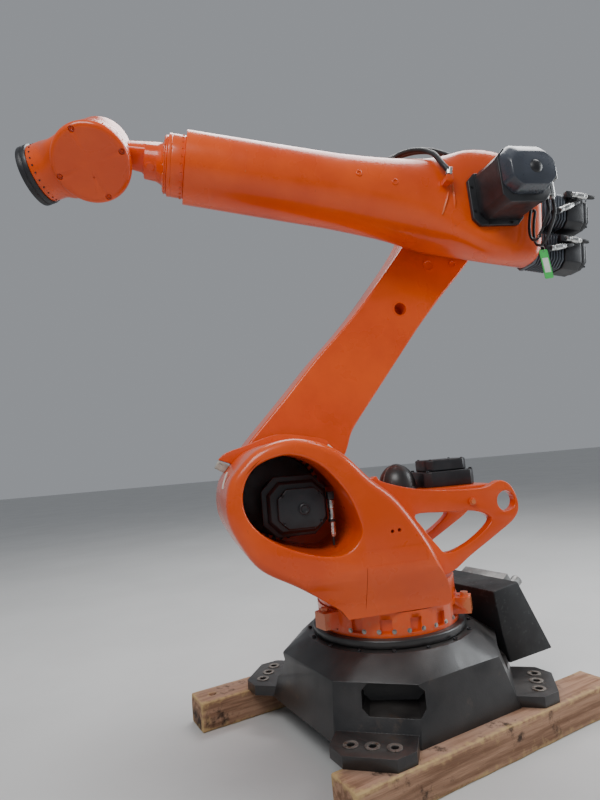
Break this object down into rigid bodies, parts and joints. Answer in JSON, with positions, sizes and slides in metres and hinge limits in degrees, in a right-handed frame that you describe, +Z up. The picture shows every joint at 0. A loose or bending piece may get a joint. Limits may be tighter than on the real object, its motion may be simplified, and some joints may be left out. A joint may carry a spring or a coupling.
{
  "type": "industrial robot arm",
  "caption": "Heavy six-axis industrial robot arm on a cast base with four feet, standing on two timber bearers, with link, forearm, wrist and tool flange.",
  "frame": {"origin": "on the first axis, at the underside of the cast base, where it meets its bearers", "axes": "+Z up along the first axis, +X towards the arm's own front, +Y to its left side"},
  "size_m": [2.0903, 1.0294, 2.1156],
  "materials": {
    "orange_paint": "gloss orange paint",
    "black_cast": "satin black paint on castings",
    "motor_black": "satin black housing",
    "pale_metal": "plain metal connector shells",
    "buffer_grey": "matt grey buffer",
    "cable_black": "black cable sheath",
    "tag_green": "plain green tag",
    "timber": "rough sawn, stained"
  },
  "bodies": {
    "base": {"base_casting": "black_cast", "base_collar": "black_cast", "connection_box": "motor_black", "connector_panel": "pale_metal", "bearer_near": "timber", "bearer_far": "timber"},
    "column": {"turning_ring": "orange_paint", "column_casting": "orange_paint", "shoulder_gear_flange": "black_cast", "shoulder_motor": "motor_black", "shoulder_motor_cover": "motor_black", "shoulder_connector": "pale_metal", "rear_plate_near": "orange_paint", "rear_plate_far": "orange_paint", "rear_deck": "orange_paint", "turn_motor": "motor_black", "turn_motor_cover": "motor_black", "balance_dome": "black_cast", "front_stop_buffer": "buffer_grey", "rear_stop_buffer": "buffer_grey"},
    "link": {"link_arm": "orange_paint", "link_shoulder_hub": "black_cast", "link_elbow_hub": "black_cast"},
    "forearm": {"forearm_housing": "orange_paint", "forearm_tube": "orange_paint", "wrist_ring": "orange_paint", "elbow_motor_plate": "motor_black", "elbow_motor": "motor_black", "elbow_motor_cover": "motor_black", "elbow_sockets": "pale_metal", "wrist_motor_1": "motor_black", "wrist_motor_2": "motor_black", "wrist_motor_3": "motor_black", "upper_wrist_sockets": "pale_metal", "lower_wrist_sockets": "pale_metal", "long_hose": "cable_black", "short_hose": "cable_black", "elbow_cable_1": "cable_black", "elbow_cable_2": "cable_black", "hanging_tag": "tag_green"},
    "wrist_roll": {"wrist_fork": "orange_paint"},
    "wrist_bend": {"wrist_head": "orange_paint", "wrist_cover": "orange_paint"},
    "tool": {"tool_flange": "motor_black"}
  },
  "joints": [
    {"name": "a1_turn", "type": "hinge", "parent": "base", "child": "column", "pos_m": [0, 0, 0.2325], "axis": [0, 0, 1], "range_deg": [-169.7, 200.3]},
    {"name": "a2_shoulder", "type": "hinge", "parent": "column", "child": "link", "pos_m": [0.35, 0, 0.675], "axis": [0, 1, 0], "range_deg": [-11, 124]},
    {"name": "a3_elbow", "type": "hinge", "parent": "link", "child": "forearm", "pos_m": [-0.49958, 0, 1.72415], "axis": [0, -1, 0], "range_deg": [-33.5, 241.5]},
    {"name": "a4_roll", "type": "hinge", "parent": "forearm", "child": "wrist_roll", "pos_m": [0.64791, 0, 1.83386], "axis": [0.9914, 0, 0.1305], "range_deg": [-305.9, 394.1]},
    {"name": "a5_bend", "type": "hinge", "parent": "wrist_roll", "child": "wrist_bend", "pos_m": [0.87694, 0, 1.86402], "axis": [0.0908, 0.7181, -0.69], "range_deg": [-150.3, 94.7]},
    {"name": "a6_tool", "type": "hinge", "parent": "wrist_bend", "child": "tool", "pos_m": [1.09515, -0.07692, 1.81268], "axis": [0.9207, -0.3246, -0.2166], "range_deg": [-350, 350]}
  ]
}
